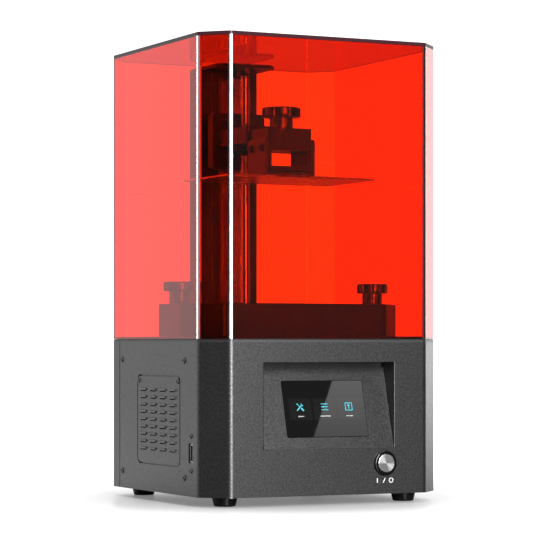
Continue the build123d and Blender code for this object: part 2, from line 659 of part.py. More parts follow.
def make_fan_guard():
    """Wire finger guard on the outside of the rear shell."""
    x, z = FAN
    wire = GUARD_PROUD / 3
    y = HALF + GUARD_PROUD - wire
    rings = [Pos(x, y, z) * Rot(90, 0, 0) * Torus(r, wire) for r in GUARD_RINGS]
    guard = rings[0]
    for other in rings[1:]:
        guard += other
    spoke = 25 * 2 ** 0.5
    for angle in (45, 135):
        bar = Rot(0, angle, 0) * Rot(0, 90, 0) * Cylinder(wire, 2 * spoke)
        guard += Pos(x, HALF + wire + 0.05, z) * bar
    for sx, sz in FAN_SCREWS:
        guard += rod_y(sx, sz, 3.2, HALF, HALF + 1.6)
        guard -= rod_y(sx, sz, SMALL_SHANK + 0.1, HALF - 1, HALF + 4)
    return guard


# ---- Z axis -------------------------------------------------------------------------------
TOP_SCREWS = [(x, y) for x in (-21.0, 21.0) for y in (92.0, 101.0)]
SHAFT_RADIUS = 2.5
COUPLER_Z = (137.6, 155.5)
COUPLER_RADIUS = 8.0


def make_z_motor():
    h = MOTOR_SIDE / 2
    y = (SCREW_Y - h, SCREW_Y + h)
    motor = block((-h, h), y, MOTOR_Z)
    motor = chamfer(motor.edges().filter_by(Axis.Z), 4)
    motor += rod_z(0, SCREW_Y, MOTOR_BOSS, MOTOR_Z[1], MOTOR_Z[1] + 2)
    for x, sy in MOTOR_SCREWS:
        motor -= rod_z(x, sy, SMALL_SHANK, MOTOR_Z[1] - 6, MOTOR_Z[1] + 1)
    motor -= rod_z(0, SCREW_Y, SHAFT_RADIUS + FIT, MOTOR_Z[1] - 30, MOTOR_Z[1] + 5)
    for z in (MOTOR_Z[0] + 9, MOTOR_Z[1] - 9):
        groove = block((-h - 1, h + 1), (y[0] - 1, y[1] + 1), (z - 0.3, z + 0.3))
        groove -= block((-h + 0.5, h - 0.5), (y[0] + 0.5, y[1] - 0.5), (z - 1, z + 1))
        motor -= groove
    return motor + block((-9, 9), (y[1], y[1] + 6), (MOTOR_Z[0] + 1, MOTOR_Z[0] + 8))


def make_z_column():
    x = (-COLUMN_HALF_X, COLUMN_HALF_X)
    column = block(x, COLUMN_Y, (DECK_TOP, COLUMN_TOP))
    hollow_x = (RAIL_HALF_X - 1, COLUMN_HALF_X - COLUMN_WALL)
    hollow_y = (COLUMN_Y[0] + COLUMN_WALL, COLUMN_Y[1] - COLUMN_WALL)
    for side in (-1, 1):
        hollow = sorted((side * hollow_x[0], side * hollow_x[1]))
        column -= block(hollow, hollow_y, (DECK_TOP + 4, COLUMN_TOP - 14))
        groove = sorted((side * 15.5, side * 20.5))
        column -= block(groove, (COLUMN_Y[0] - 1, COLUMN_Y[0] + 1.2), (DECK_TOP - 1, COLUMN_TOP + 1))
    for sx, sy in TOP_SCREWS:
        column -= rod_z(sx, sy, SMALL_SHANK, COLUMN_TOP - 8, COLUMN_TOP + 1)
    return fillet(column.edges().filter_by(Axis.Z).group_by(Axis.Y)[0], 0.8)


def make_z_rail():
    """Ball rail with a waisted section, on the front of the column."""
    hx = RAIL_HALF_X
    y0, y1 = RAIL_Y
    waist = hx - RAIL_WAIST
    side = [(hx, y1), (hx, y0 + 5), (waist, y0 + 3.6), (waist, y0 + 2.2), (hx, y0 + 0.9), (hx - 0.7, y0)]
    points = side + [(-x, y) for x, y in reversed(side)]
    rail = slab(Polygon(*points, align=None), DECK_TOP + 10, COLUMN_TOP - 6)
    for k in range(RAIL_HOLES):
        z = DECK_TOP + 22 + k * RAIL_HOLE_PITCH
        rail -= rod_y(0, z, 3.0, y0 - 1, y0 + 4)
    return rail


def make_top_plate():
    hx = 27.6
    cut = 7.0
    y0, y1 = TOP_PLATE_Y, COLUMN_Y[1]
    points = [(-hx + cut, y0), (hx - cut, y0), (hx, y0 + cut), (hx, y1), (-hx, y1), (-hx, y0 + cut)]
    plate = slab(Polygon(*points, align=None), COLUMN_TOP, COLUMN_TOP + TOP_PLATE_THICK)
    for x, y in TOP_SCREWS:
        plate -= rod_z(x, y, SMALL_SHANK, COLUMN_TOP - 1, COLUMN_TOP + 5)
    return plate - rod_z(0, SCREW_Y, SCREW_RADIUS + 0.6, COLUMN_TOP - 1, COLUMN_TOP + 5)


BEARING_Z = (370.0, 377.0)


def make_top_bearing():
    bearing = rod_z(0, SCREW_Y, 8.0, *BEARING_Z)
    return bearing - rod_z(0, SCREW_Y, SCREW_RADIUS + FIT, BEARING_Z[0] - 1, BEARING_Z[1] + 1)


def make_lead_screw():
    screw_rod = rod_z(0, SCREW_Y, SCREW_RADIUS, COUPLER_Z[0] + 9, COLUMN_TOP + 1.5)
    return chamfer(screw_rod.edges().group_by(Axis.Z)[-1], 0.8)


def make_shaft_coupler():
    """Clamp coupler on the motor shaft; it holds the lower end of the lead screw."""
    coupler = rod_z(0, SCREW_Y, COUPLER_RADIUS, *COUPLER_Z)
    coupler = chamfer(coupler.edges().group_by(Axis.Z)[-1] + coupler.edges().group_by(Axis.Z)[0], 0.6)
    coupler -= rod_z(0, SCREW_Y, SCREW_RADIUS + FIT, COUPLER_Z[0] + 9, COUPLER_Z[1] + 1)
    shaft = rod_z(0, SCREW_Y, SHAFT_RADIUS, MOTOR_Z[1] - 28, COUPLER_Z[0] + 9)
    slot = block((3, 10), (SCREW_Y - 0.5, SCREW_Y + 0.5), (COUPLER_Z[0] + 10, COUPLER_Z[1] + 1))
    return coupler + shaft - slot


def make_limit_switch():
    body = block((18.6, 31.6), (67.0, 73.0), (DECK_TOP, DECK_TOP + 9))
    lever = block((19.6, 30.6), (68.5, 71.5), (DECK_TOP + 10.0, DECK_TOP + 10.6))
    return body + lever + block((28.6, 30.6), (68.5, 71.5), (DECK_TOP + 8, DECK_TOP + 10.5))


# ---- carriage -----------------------------------------------------------------------------
RAIL_BLOCK_HALF_X = 17.0
RAIL_BLOCK_Z = (293.0, 333.0)
CARRIAGE_SCREWS = [(x, z) for x in (-12.0, 12.0) for z in (298.0, 330.0)]


def make_carriage_plate():
    face = RectangleRounded(2 * CARRIAGE_HALF_X, CARRIAGE_Z[1] - CARRIAGE_Z[0], 4)
    middle = (CARRIAGE_Z[0] + CARRIAGE_Z[1]) / 2
    plate = extrude(Pos(0, CARRIAGE_Y[1], middle) * Rot(90, 0, 0) * face, CARRIAGE_Y[1] - CARRIAGE_Y[0])
    for x, z in CARRIAGE_SCREWS:
        plate -= rod_y(x, z, SMALL_SHANK, CARRIAGE_Y[0] - 1, CARRIAGE_Y[1] + 1)
    flag = block((19, 24), (69.0, 71.0), (CARRIAGE_Z[0] - 7, CARRIAGE_Z[0] + 5))
    return plate + flag


def make_rail_block():
    clear = 0.1
    hx = RAIL_BLOCK_HALF_X
    slider = block((-hx, hx), (CARRIAGE_Y[1], RAIL_Y[1] - 1.2), RAIL_BLOCK_Z)
    slider = chamfer(slider.edges().filter_by(Axis.Z), 0.8)
    rail_space = block((-RAIL_HALF_X - clear, RAIL_HALF_X + clear), (RAIL_Y[0] - clear, RAIL_Y[1] + 1),
                       (RAIL_BLOCK_Z[0] - 1, RAIL_BLOCK_Z[1] + 1))
    for x, z in CARRIAGE_SCREWS:
        slider -= rod_y(x, z, SMALL_SHANK, CARRIAGE_Y[1] - 1, RAIL_Y[0] - 0.6)
    return slider - rail_space


def make_platform_arm():
    """Cantilever from the carriage: a deep root, bored for the nut, and a tongue for the platform."""
    arm = block((-ARM_HALF_X, ARM_HALF_X), ARM_Y, ARM_Z)
    arm = fillet(arm.edges().filter_by(Axis.Z).group_by(Axis.Y)[0], 2)
    root = block((-TONGUE_HALF_X, TONGUE_HALF_X), (ARM_Y[0] - 1, ARM_Y[0] + 12), (TONGUE_Z[0], ARM_Z[1]))
    tongue = block((-TONGUE_HALF_X, TONGUE_HALF_X), (TONGUE_Y, ARM_Y[0] + 12), TONGUE_Z)
    arm = arm + root + tongue
    arm -= rod_z(0, SCREW_Y, NUT_RADIUS, ARM_Z[0] - 1, ARM_Z[1] + 1)
    for x, y in NUT_SCREWS:
        arm -= rod_z(x, y, SMALL_SHANK, ARM_Z[0] - 1, ARM_Z[0] + 7)
    for x in (-12.0, 12.0):
        arm -= rod_y(x, 314.0, SMALL_SHANK, ARM_Y[1] - 8, ARM_Y[1] + 1)
    return arm


NUT_RADIUS = 5.1
NUT_FLANGE_RADIUS = 10.5
NUT_FLANGE = 3.5
NUT_SCREWS = [(x, SCREW_Y + y) for x, y in ((-7.8, 0), (7.8, 0))]


def make_drive_nut():
    flange = rod_z(0, SCREW_Y, NUT_FLANGE_RADIUS, ARM_Z[0] - NUT_FLANGE, ARM_Z[0])
    barrel = rod_z(0, SCREW_Y, NUT_RADIUS, ARM_Z[0] - 8, ARM_Z[1] + 2)
    nut = flange + barrel
    for x, y in NUT_SCREWS:
        nut -= rod_z(x, y, SMALL_SHANK, ARM_Z[0] - 5, ARM_Z[0] + 1)
    return nut - rod_z(0, SCREW_Y, SCREW_RADIUS + FIT, ARM_Z[0] - 10, ARM_Z[1] + 5)


def make_carriage_screws():
    small = screw(SMALL_HEAD - 0.2, 1.6, SMALL_SHANK - 0.05, 9.5)
    screws = [Pos(x, CARRIAGE_Y[0], z) * facing("-Y") * small for x, z in CARRIAGE_SCREWS if z > ARM_Z[1]]
    screws += [Pos(x, CARRIAGE_Y[0], z) * facing("-Y") * small for x, z in CARRIAGE_SCREWS if z < ARM_Z[0]]
    short = screw(2.2, 1.4, SMALL_SHANK - 0.05, 8)
    screws += [Pos(x, y, ARM_Z[0] - NUT_FLANGE) * facing("-Z") * short for x, y in NUT_SCREWS]
    return group(screws)


# ---- platform -----------------------------------------------------------------------------
def make_platform_block():
    """Block that slides onto the arm's tongue, with an open window below it."""
    x = (-BLOCK_HALF_X, BLOCK_HALF_X)
    body = block(x, BLOCK_Y, BLOCK_Z)
    body = chamfer(body.edges().filter_by(Axis.Z), 0.8)
    body -= block((-TONGUE_HALF_X - 0.2, TONGUE_HALF_X + 0.2), (TONGUE_Y - 0.3, BLOCK_Y[1] + 1),
                  (TONGUE_Z[0] - GAP, TONGUE_Z[1] + GAP))
    body -= block((-WINDOW_HALF_X, WINDOW_HALF_X), (BLOCK_Y[0] - 1, BLOCK_Y[1] + 1), WINDOW_Z)
    body -= rod_z(0, STUD_Y, PLATFORM_STUD_RADIUS + FIT, TONGUE_Z[1], BLOCK_Z[1] + 1)
    for y in LEVEL_SCREW_Y:
        for side in (-1, 1):
            reach = sorted((side * (BLOCK_HALF_X - 4), side * (BLOCK_HALF_X + 1)))
            body -= rod_x(y, LEVEL_SCREW_Z, 2.0, *reach)
    return body


STUD_Y = (BLOCK_Y[0] + BLOCK_Y[1]) / 2
BRACKET_CLEAR = 0.05


def make_level_screws():
    clamp = screw(3.4, 2.2, 1.95, BRACKET_THICK + BRACKET_CLEAR + 3.9)
    face = BLOCK_HALF_X + BRACKET_CLEAR + BRACKET_THICK
    return group(Pos(side * face, y, LEVEL_SCREW_Z) * facing(axis) * clamp
                 for side, axis in ((-1, "-X"), (1, "+X")) for y in LEVEL_SCREW_Y)


def make_level_bracket():
    """U-shaped bracket on the build plate; its two cheeks hang from the block's side screws."""
    inner = BLOCK_HALF_X + BRACKET_CLEAR
    outer = inner + BRACKET_THICK
    base_z = (PLATE_Z[1], PLATE_Z[1] + BRACKET_BASE)
    bracket = block((-outer, outer), BLOCK_Y, base_z)
    for side in (-1, 1):
        cheek_x = sorted((side * inner, side * outer))
        cheek = block(cheek_x, BLOCK_Y, (PLATE_Z[1], BRACKET_TOP))
        cheek = fillet(cheek.edges().filter_by(Axis.X).group_by(Axis.Z)[-1], 3)
        for y in LEVEL_SCREW_Y:
            cheek -= rod_x(y, LEVEL_SCREW_Z, 2.6, cheek_x[0] - 1, cheek_x[1] + 1)
        bracket += cheek
    for x in (-12, 12):
        for y in (STUD_Y - 10, STUD_Y + 10):
            bracket -= rod_z(x, y, 2.0, PLATE_Z[1] - 1, PLATE_Z[1] + 5)
    return bracket


def make_build_plate():
    """Plate whose top slopes down to a thin rim, so that resin runs off it."""
    x = (-PLATE[0] / 2, PLATE[0] / 2)
    y = (PLATE_Y - PLATE[1] / 2, PLATE_Y + PLATE[1] / 2)
    rim_top = PLATE_Z[0] + PLATE_RIM
    plate = rounded_block(x, y, (PLATE_Z[0], rim_top), 1.5)
    crown = (2 * BLOCK_HALF_X + 8, BLOCK_Y[1] - BLOCK_Y[0] + 2)
    slopes = [Pos(0, PLATE_Y, rim_top) * Rectangle(PLATE[0] - 1, PLATE[1] - 1),
              Pos(0, STUD_Y, PLATE_Z[1]) * Rectangle(*crown)]
    return plate + loft(slopes)


def make_knob(x, y, seat, stem_radius, stem_height, head_radius, head_height, lobes, bore, depth):
    """Lobed thumb knob with a fluted stem, bored for its stud from below."""
    top = seat + stem_height + head_height
    head = rod_z(0, 0, head_radius, seat + stem_height, top)
    edges = head.edges().filter_by(GeomType.CIRCLE)
    head = fillet(edges, 1.4)
    notch = head_radius * 0.16
    for k in range(lobes):
        cut = Rot(0, 0, 360 / lobes * k) * Pos(head_radius + notch * 0.35, 0, 0)
        head -= cut * rod_z(0, 0, notch, seat + stem_height - 1, top + 1)
    stem = rod_z(0, 0, stem_radius, seat, seat + stem_height + 1)
    for k in range(lobes):
        cut = Rot(0, 0, 360 / lobes * k) * Pos(stem_radius + 0.3, 0, 0)
        stem -= cut * rod_z(0, 0, 1.1, seat + 1, seat + stem_height)
    dish = Pos(0, 0, top + head_radius * 1.6) * Sphere(head_radius * 1.6 + 0.8)
    knob = head + stem - dish
    knob -= rod_z(0, 0, bore, seat - 1, seat + depth)
    return Pos(x, y, 0) * knob


VAT_KNOB_SEAT = VAT_TOP + 0.2
VAT_STEM_HEIGHT = 10.0
VAT_HEAD_HEIGHT = 8.2
VAT_STUD_DEPTH = 12.0
BLOCK_KNOB_SEAT = BLOCK_Z[1] + 0.3
BLOCK_STEM_HEIGHT = 10.0
BLOCK_HEAD_HEIGHT = 8.2


def make_vat_knob(side):
    return make_knob(side * KNOB_X, KNOB_Y, VAT_KNOB_SEAT, 8.7, VAT_STEM_HEIGHT, 13.6,
                     VAT_HEAD_HEIGHT, 12, STUD_RADIUS + FIT, VAT_STUD_DEPTH)


def make_vat_stud(side):
    top = VAT_KNOB_SEAT + VAT_STUD_DEPTH - 0.1
    return rod_z(side * KNOB_X, KNOB_Y, STUD_RADIUS, DECK_TOP - 7, top)


def make_platform_knob():
    return make_knob(0, STUD_Y, BLOCK_KNOB_SEAT, 10.0, BLOCK_STEM_HEIGHT, 16.6,
                     BLOCK_HEAD_HEIGHT, 8, PLATFORM_STUD_RADIUS + FIT, 10.0)


def make_platform_stud():
    return rod_z(0, STUD_Y, PLATFORM_STUD_RADIUS, TONGUE_Z[1] + GAP, BLOCK_KNOB_SEAT + 9.9)


# ---- vat ----------------------------------------------------------------------------------
VAT_BOTTOM = DECK_TOP + LCD_FRAME[2] + 0.2 + FILM
RECESS_TOP = VAT_BOTTOM + 1.6
RING = (156.0, 99.0, 8.0)


def well_outline(grow):
    face = RectangleRounded(WELL[0] + 2 * grow, WELL[1] + 2 * grow, WELL_RADIUS + grow)
    return Pos(0, WELL_Y) * face


def ring_outline(grow):
    return Pos(0, WELL_Y) * RectangleRounded(RING[0] + 2 * grow, RING[1] + 2 * grow, RING[2])


def make_vat_tray():
    """Tray with cut corners, a deep well, and open slots at the rear for the knobs' studs."""
    outer = outline(VAT[0], VAT[1], *VAT_CUT, 2.0, CENTRE_Y)
    tray = slab(outer, VAT_BOTTOM, VAT_TOP)
    tray = chamfer(tray.edges().group_by(Axis.Z)[-1], 0.8)
    tray -= slab(well_outline(0), VAT_BOTTOM - 1, VAT_TOP + 1)
    recess = slab(ring_outline(0.2), VAT_BOTTOM - 1, RECESS_TOP)
    tray -= recess - slab(well_outline(LIP), VAT_BOTTOM - 2, RECESS_TOP + 1)
    slot = STUD_RADIUS + 0.7
    for x in (-KNOB_X, KNOB_X):
        tray -= rod_z(x, KNOB_Y, slot, VAT_BOTTOM - 1, VAT_TOP + 1)
        tray -= block((x - slot, x + slot), (KNOB_Y, CENTRE_Y + VAT[1]), (VAT_BOTTOM - 1, VAT_TOP + 1))
    return tray


def make_vat_film():
    """Release film stretched over the lip like a drum skin, with its rim turned up to the clamp ring."""
    pan = slab(well_outline(LIP + FILM), VAT_BOTTOM - FILM, RECESS_TOP)
    pan -= slab(well_outline(LIP), VAT_BOTTOM, RECESS_TOP + 1)
    flange = slab(ring_outline(-0.2), RECESS_TOP - FILM, RECESS_TOP)
    flange -= slab(well_outline(LIP), RECESS_TOP - 1, RECESS_TOP + 1)
    return pan + flange


def make_film_ring():
    ring = slab(ring_outline(0), VAT_BOTTOM + 0.1, RECESS_TOP - FILM)
    return ring - slab(well_outline(LIP + FILM + 0.1), VAT_BOTTOM - 1, RECESS_TOP + 1)


# ---- cover --------------------------------------------------------------------------------
COVER_SEAT = DECK_TOP + SEAT_HEIGHT + SLIP
COVER_CEILING = TOTAL_HEIGHT - ACRYLIC


def make_cover_shell():
    walls = slab(body_outline(0), COVER_SEAT, COVER_CEILING)
    return walls - slab(body_outline(ACRYLIC), COVER_SEAT - 1, COVER_CEILING + 1)


def make_cover_top():
    return slab(body_outline(0), COVER_CEILING, TOTAL_HEIGHT)


def build_all():
    node("front_shell", make_front_shell())
    node("rear_shell", make_rear_shell())
    node("vent_plate_left", make_vent_plate(-1))
    node("vent_plate_right", make_vent_plate(1))
    node("bottom_plate", make_bottom_plate())
    node("rubber_feet", group(make_foot(x, y) for x, y in FEET))
    node("foot_screws", group(make_foot_screw(x, y) for x, y in FEET))
    node("deck_plate", make_deck_plate())
    node("cover_rim", make_cover_rim())
    node("screen_panel", make_screen_panel())
    node("screen_recess", make_screen_recess())
    node("touch_glass", make_touch_glass())
    node("display_module", make_display_module())
    node("button_ring", make_button_ring())
    node("button_cap", make_button_cap())
    node("button_switch", make_button_switch())
    node("usb_port", make_usb_port())
    node("power_jack", make_power_jack())
    node("housing_screws", make_housing_screws())
    node("vent_screws", make_vent_screws())
    node("deck_screws", make_deck_screws())
    node("lcd_frame", make_lcd_frame())
    node("lcd_panel", make_lcd_panel())
    node("uv_light_box", make_uv_light_box())
    node("uv_led_board", make_uv_led_board())
    node("uv_leds", make_uv_leds())
    node("uv_heatsink", make_uv_heatsink())
    node("mainboard", make_mainboard())
    node("mainboard_parts", make_mainboard_parts())
    node("fan_frame", make_fan_frame())
    node("fan_rotor", make_fan_rotor())
    node("fan_guard", make_fan_guard())
    node("z_motor", make_z_motor())
    node("z_column", make_z_column())
    node("z_rail", make_z_rail())
    node("top_plate", make_top_plate())
    node("top_bearing", make_top_bearing())
    node("lead_screw", make_lead_screw())
    node("shaft_coupler", make_shaft_coupler())
    node("limit_switch", make_limit_switch())
    node("carriage_plate", make_carriage_plate())
    node("rail_block", make_rail_block())
    node("platform_arm", make_platform_arm())
    node("drive_nut", make_drive_nut())
    node("carriage_screws", make_carriage_screws())
    node("platform_block", make_platform_block())
    node("level_screws", make_level_screws())
    node("level_bracket", make_level_bracket())
    node("build_plate", make_build_plate())
    node("platform_stud", make_platform_stud())
    node("platform_knob", make_platform_knob())
    node("vat_tray", make_vat_tray())
    node("vat_film", make_vat_film())
    node("film_ring", make_film_ring())
    for side, name in ((-1, "left"), (1, "right")):
        node("vat_stud_" + name, make_vat_stud(side))
        node("vat_knob_" + name, make_vat_knob(side))
    node("cover_shell", make_cover_shell())
    node("cover_top", make_cover_top())


build_all()
os.makedirs("parts", exist_ok=True)
for name, shape in NODES.items():
    export_step(shape, f"parts/{name}.step")
print(len(NODES), "nodes written")
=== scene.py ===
import json
from math import atan2, cos, pi, radians, sin

import bpy
from mathutils import Matrix, Vector

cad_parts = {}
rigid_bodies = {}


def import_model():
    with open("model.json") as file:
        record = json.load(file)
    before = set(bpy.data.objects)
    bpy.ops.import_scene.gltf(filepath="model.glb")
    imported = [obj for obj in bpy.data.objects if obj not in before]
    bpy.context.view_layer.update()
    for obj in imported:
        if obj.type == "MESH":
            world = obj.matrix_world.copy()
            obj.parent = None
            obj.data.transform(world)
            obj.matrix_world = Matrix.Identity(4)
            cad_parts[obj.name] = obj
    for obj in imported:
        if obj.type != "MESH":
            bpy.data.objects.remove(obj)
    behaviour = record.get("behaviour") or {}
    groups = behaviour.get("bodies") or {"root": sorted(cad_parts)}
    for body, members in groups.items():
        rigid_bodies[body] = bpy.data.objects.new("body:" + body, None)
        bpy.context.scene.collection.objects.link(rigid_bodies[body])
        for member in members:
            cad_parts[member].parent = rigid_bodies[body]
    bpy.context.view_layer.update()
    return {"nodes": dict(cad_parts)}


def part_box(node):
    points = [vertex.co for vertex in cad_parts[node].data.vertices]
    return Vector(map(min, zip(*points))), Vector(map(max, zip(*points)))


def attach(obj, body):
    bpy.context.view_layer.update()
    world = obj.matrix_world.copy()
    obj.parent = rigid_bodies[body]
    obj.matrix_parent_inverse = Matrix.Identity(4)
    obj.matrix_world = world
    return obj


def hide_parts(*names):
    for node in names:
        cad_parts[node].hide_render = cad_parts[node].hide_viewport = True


# A desktop resin printer: a charcoal base with a touch panel under an orange-red acrylic cover.
# Metres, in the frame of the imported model: the floor is z = 0 and the front faces -Y.

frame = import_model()
NODES = frame["nodes"]
MM = 0.001


# ---- shader building ----------------------------------------------------------------------
def add(tree, kind, inputs=None, **settings):
    """Makes one shader node; an input is a value or the socket that feeds it."""
    made = tree.nodes.new("ShaderNode" + kind)
    for key, value in settings.items():
        setattr(made, key, value)
    for key, value in (inputs or {}).items():
        if isinstance(value, bpy.types.NodeSocket):
            tree.links.new(value, made.inputs[key])
        else:
            made.inputs[key].default_value = value
    return made


def rgba(colour, by=1.0):
    return (colour[0] * by, colour[1] * by, colour[2] * by, 1.0)


def shader(name, colour, rough, metal=0.0, **plain):
    """A material with one Principled node; plain values sit on the shader's own sockets."""
    mat = bpy.data.materials.new(name)
    mat.use_nodes = True
    tree = mat.node_tree
    bsdf = tree.nodes["Principled BSDF"]
    bsdf.inputs["Base Color"].default_value = rgba(colour)
    bsdf.inputs["Roughness"].default_value = rough
    bsdf.inputs["Metallic"].default_value = metal
    for key, value in plain.items():
        bsdf.inputs[key.replace("_", " ")].default_value = value
    return mat, tree, bsdf


def place(tree, stretch=(1, 1, 1)):
    """Object coordinates in metres, so that a pattern rides with its body."""
    return add(tree, "Mapping", {"Vector": object_coords(tree), "Scale": stretch}).outputs["Vector"]


def noise(tree, vector, scale, detail=2.0, rough=0.5):
    inputs = {"Vector": vector, "Scale": scale, "Detail": detail, "Roughness": rough}
    return add(tree, "TexNoise", inputs).outputs["Fac"]


def ranged(tree, value, low, high, to_low, to_high):
    inputs = {"Value": value, "From Min": low, "From Max": high, "To Min": to_low, "To Max": to_high}
    return add(tree, "MapRange", inputs).outputs["Result"]


def blended(tree, factor, a, b):
    """A colour that goes from a to b; either is a colour or a socket."""
    mix = add(tree, "Mix", data_type="RGBA")
    for index, value in ((0, factor), (6, a), (7, b)):
        if isinstance(value, bpy.types.NodeSocket):
            tree.links.new(value, mix.inputs[index])
        else:
            mix.inputs[index].default_value = value
    return mix.outputs[2]


def maths(tree, operation, *values):
    return add(tree, "Math", dict(enumerate(values)), operation=operation).outputs["Value"]


def vector_maths(tree, operation, *values, out="Vector"):
    return add(tree, "VectorMath", dict(enumerate(values)), operation=operation).outputs[out]


def object_coords(tree):
    return add(tree, "TexCoord").outputs["Object"]


def axis_of(tree, vector, axis):
    return add(tree, "SeparateXYZ", {"Vector": vector}).outputs[axis]


def bumped(tree, bsdf, height, strength, distance):
    normal = add(tree, "Bump", {"Height": height, "Strength": strength, "Distance": distance})
    tree.links.new(normal.outputs["Normal"], bsdf.inputs["Normal"])


# ---- materials ----------------------------------------------------------------------------
def powder_coat(name, colour, rough=0.38, speckle=0.5, depth=0.15):
    """Fine orange-peel powder coat whose grains glint unevenly."""
    mat, tree, bsdf = shader(name, colour, rough, IOR=1.75)
    spot = place(tree)
    grain = noise(tree, spot, 950, 2, 0.6)
    glint = noise(tree, spot, 780, 2, 0.7)
    cloud = noise(tree, spot, 14, 2)
    pale = ranged(tree, grain, 0.32, 0.68, 0, 1)
    shade = blended(tree, pale, rgba(colour, 1 - speckle), rgba(colour, 1 + speckle))
    worn = blended(tree, ranged(tree, cloud, 0.35, 0.65, 0, 0.12), shade, rgba(colour, 1.5))
    tree.links.new(worn, bsdf.inputs["Base Color"])
    tree.links.new(ranged(tree, glint, 0.3, 0.7, 0.5 - 0.4 * speckle, 0.5 + 0.5 * speckle),
                   bsdf.inputs["Specular IOR Level"])
    tree.links.new(ranged(tree, grain, 0.3, 0.7, rough - 0.08, rough + 0.08), bsdf.inputs["Roughness"])
    bumped(tree, bsdf, grain, depth, 0.0003)
    return mat


def moulded(name, colour, rough, grain=2200, depth=0.25):
    """Moulded plastic or rubber with a fine spark-eroded grain."""
    mat, tree, bsdf = shader(name, colour, rough)
    spot = place(tree)
    speck = noise(tree, spot, grain, 2, 0.6)
    cloud = noise(tree, spot, 60, 2)
    shade = blended(tree, cloud, rgba(colour, 0.8), rgba(colour, 1.25))
    tree.links.new(shade, bsdf.inputs["Base Color"])
    tree.links.new(ranged(tree, speck, 0.3, 0.7, rough - 0.06, rough + 0.08), bsdf.inputs["Roughness"])
    bumped(tree, bsdf, speck, depth, 0.00012)
    return mat


def brushed(name, colour, rough, along=(1, 1, 0.03), metal=1.0, depth=0.12):
    """Metal with fine straight scratches along the axis whose stretch is small."""
    mat, tree, bsdf = shader(name, colour, rough, metal)
    scratch = noise(tree, place(tree, along), 2600, 3, 0.7)
    shade = blended(tree, scratch, rgba(colour, 0.82), rgba(colour, 1.15))
    tree.links.new(shade, bsdf.inputs["Base Color"])
    tree.links.new(ranged(tree, scratch, 0.25, 0.75, rough - 0.07, rough + 0.1), bsdf.inputs["Roughness"])
    bumped(tree, bsdf, scratch, depth, 0.00005)
    return mat


def blasted(name, colour, rough, metal=1.0, grain=1800, depth=0.4):
    """Bead-blasted, anodised alloy."""
    mat, tree, bsdf = shader(name, colour, rough, metal)
    spot = place(tree)
    speck = noise(tree, spot, grain, 2, 0.7)
    cloud = noise(tree, spot, 30, 3)
    shade = blended(tree, cloud, rgba(colour, 0.85), rgba(colour, 1.2))
    tree.links.new(shade, bsdf.inputs["Base Color"])
    tree.links.new(ranged(tree, cloud, 0.3, 0.7, rough - 0.05, rough + 0.07), bsdf.inputs["Roughness"])
    bumped(tree, bsdf, speck, depth, 0.00008)
    return mat


def spun(name, colour, rough, centre, highlight_angle=145):
    """Metal face turned about the Y axis through centre: fine rings, and a painted highlight, a pale fan
    along one diameter that darkens across it.
    """
    mat, tree, bsdf = shader(name, colour, rough, 1.0)
    offset = vector_maths(tree, "SUBTRACT", object_coords(tree), centre)
    flat = vector_maths(tree, "MULTIPLY", offset, (1, 0, 1))
    radius = vector_maths(tree, "LENGTH", flat, out="Value")
    spoke = vector_maths(tree, "NORMALIZE", flat)
    highlight_axis = (cos(radians(highlight_angle)), 0, sin(radians(highlight_angle)))
    # Painted highlight: the colour is pale along the diameter at the given angle and dark across it.
    fan = maths(tree, "ABSOLUTE", vector_maths(tree, "DOT_PRODUCT", spoke, highlight_axis, out="Value"))
    ragged = maths(tree, "MULTIPLY_ADD", noise(tree, spoke, 9, 2, 0.6), 0.25, fan)
    bright = ranged(tree, ragged, 0.86, 1.12, 0, 1)
    painted_highlight_colour = blended(tree, bright, rgba(colour, 0.42), rgba(colour, 1.45))
    groove = noise(tree, add(tree, "CombineXYZ", {"X": radius}).outputs["Vector"], 5200, 3, 0.7)
    shade = blended(tree, ranged(tree, groove, 0.3, 0.7, 0, 0.35), painted_highlight_colour, rgba(colour, 0.5))
    tree.links.new(shade, bsdf.inputs["Base Color"])
    bumped(tree, bsdf, groove, 0.15, 0.00004)
    return mat


def gloss_black(name, colour, rough, coat=0.0):
    """Polished dark glass or plastic with faint smears."""
    mat, tree, bsdf = shader(name, colour, rough, Coat_Weight=coat)
    smear = noise(tree, place(tree, (1, 1, 2.5)), 45, 4, 0.6)
    tree.links.new(ranged(tree, smear, 0.35, 0.75, rough, rough + 0.05), bsdf.inputs["Roughness"])
    return mat


def display_glass(name, colour, low, high):
    """Dark polished glass that mirrors a little more towards its top."""
    mat, tree, bsdf = shader(name, colour, 0.012)
    height = axis_of(tree, object_coords(tree), "Z")
    tree.links.new(ranged(tree, height, low, high, 0.3, 0.53), bsdf.inputs["Specular IOR Level"])
    smear = noise(tree, place(tree, (1, 1, 2.5)), 45, 4, 0.6)
    tree.links.new(ranged(tree, smear, 0.4, 0.8, 0.01, 0.03), bsdf.inputs["Roughness"])
    return mat


# The dye was adjusted until the hood's colours matched the photo.
ACRYLIC_DENSITY = 1500.0
ACRYLIC_ABSORBS = (0.997, 0.6, 0.1, 1.0)
# Share of a mirror layer on the front bends, which keeps their white lines steady.
POLISH = 0.5


